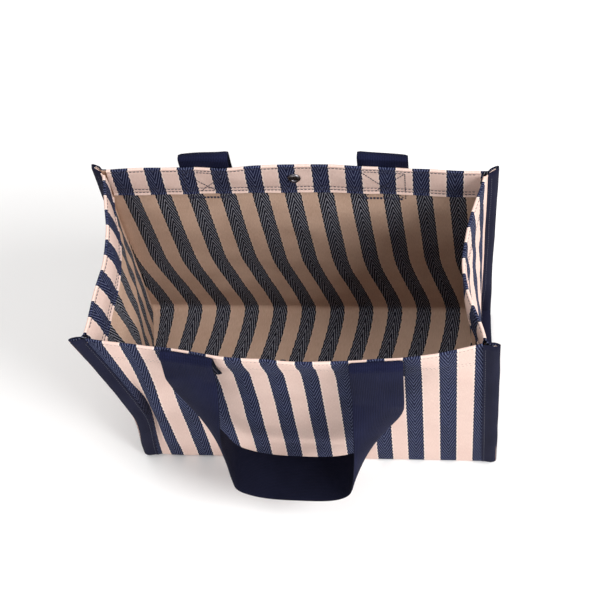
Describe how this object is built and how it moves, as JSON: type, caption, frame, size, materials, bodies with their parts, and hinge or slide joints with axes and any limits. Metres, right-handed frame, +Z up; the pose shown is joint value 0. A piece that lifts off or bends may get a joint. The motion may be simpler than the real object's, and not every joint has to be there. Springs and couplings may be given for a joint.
{
  "type": "canvas tote bag",
  "caption": "Open box-shaped canvas tote bag with wide vertical stripes, bound side seams, turned-over hems, a snap at the mouth and webbing handles that swing.",
  "frame": {"origin": "centre of the base between the side seams, on its underside", "axes": "+Z up, front face towards -Y, +X to the right seen from the front"},
  "size_m": [0.3966, 0.3019, 0.3081],
  "materials": {
    "striped_canvas": "cream cotton canvas with woven navy herringbone stripes",
    "binding_tape": "matte navy cotton binding tape",
    "webbing": "ribbed navy cotton webbing",
    "thread": "navy sewing thread",
    "snap_metal": "dark gunmetal"
  },
  "bodies": {
    "bag": {"base_panel": "striped_canvas", "front_panel": "striped_canvas", "front_handle_left_end": "webbing", "front_left_box_stitch": "thread", "front_handle_right_end": "webbing", "front_right_box_stitch": "thread", "front_top_stitching": "thread", "front_hem_stitching": "thread", "back_panel": "striped_canvas", "back_handle_left_end": "webbing", "back_left_box_stitch": "thread", "back_handle_right_end": "webbing", "back_right_box_stitch": "thread", "back_top_stitching": "thread", "back_hem_stitching": "thread", "left_gusset": "striped_canvas", "left_base_binding": "binding_tape", "left_front_binding": "binding_tape", "left_back_binding": "binding_tape", "left_top_stitching": "thread", "left_hem_stitching": "thread", "right_gusset": "striped_canvas", "right_base_binding": "binding_tape", "right_front_binding": "binding_tape", "right_back_binding": "binding_tape", "right_top_stitching": "thread", "right_hem_stitching": "thread", "snap_stud": "snap_metal", "snap_stud_prong_ring": "snap_metal", "snap_socket": "snap_metal", "snap_socket_prong_ring": "snap_metal"},
    "front_handle": {"front_handle_loop": "webbing"},
    "back_handle": {"back_handle_loop": "webbing"}
  },
  "joints": [
    {"name": "front_handle_swing", "type": "hinge", "parent": "bag", "child": "front_handle", "pos_m": [0, -0.10847, 0.3], "axis": [-1, 0, 0], "range_deg": [0, 175]},
    {"name": "back_handle_swing", "type": "hinge", "parent": "bag", "child": "back_handle", "pos_m": [0, 0.10037, 0.308], "axis": [1, 0, 0], "range_deg": [0, 175]}
  ]
}
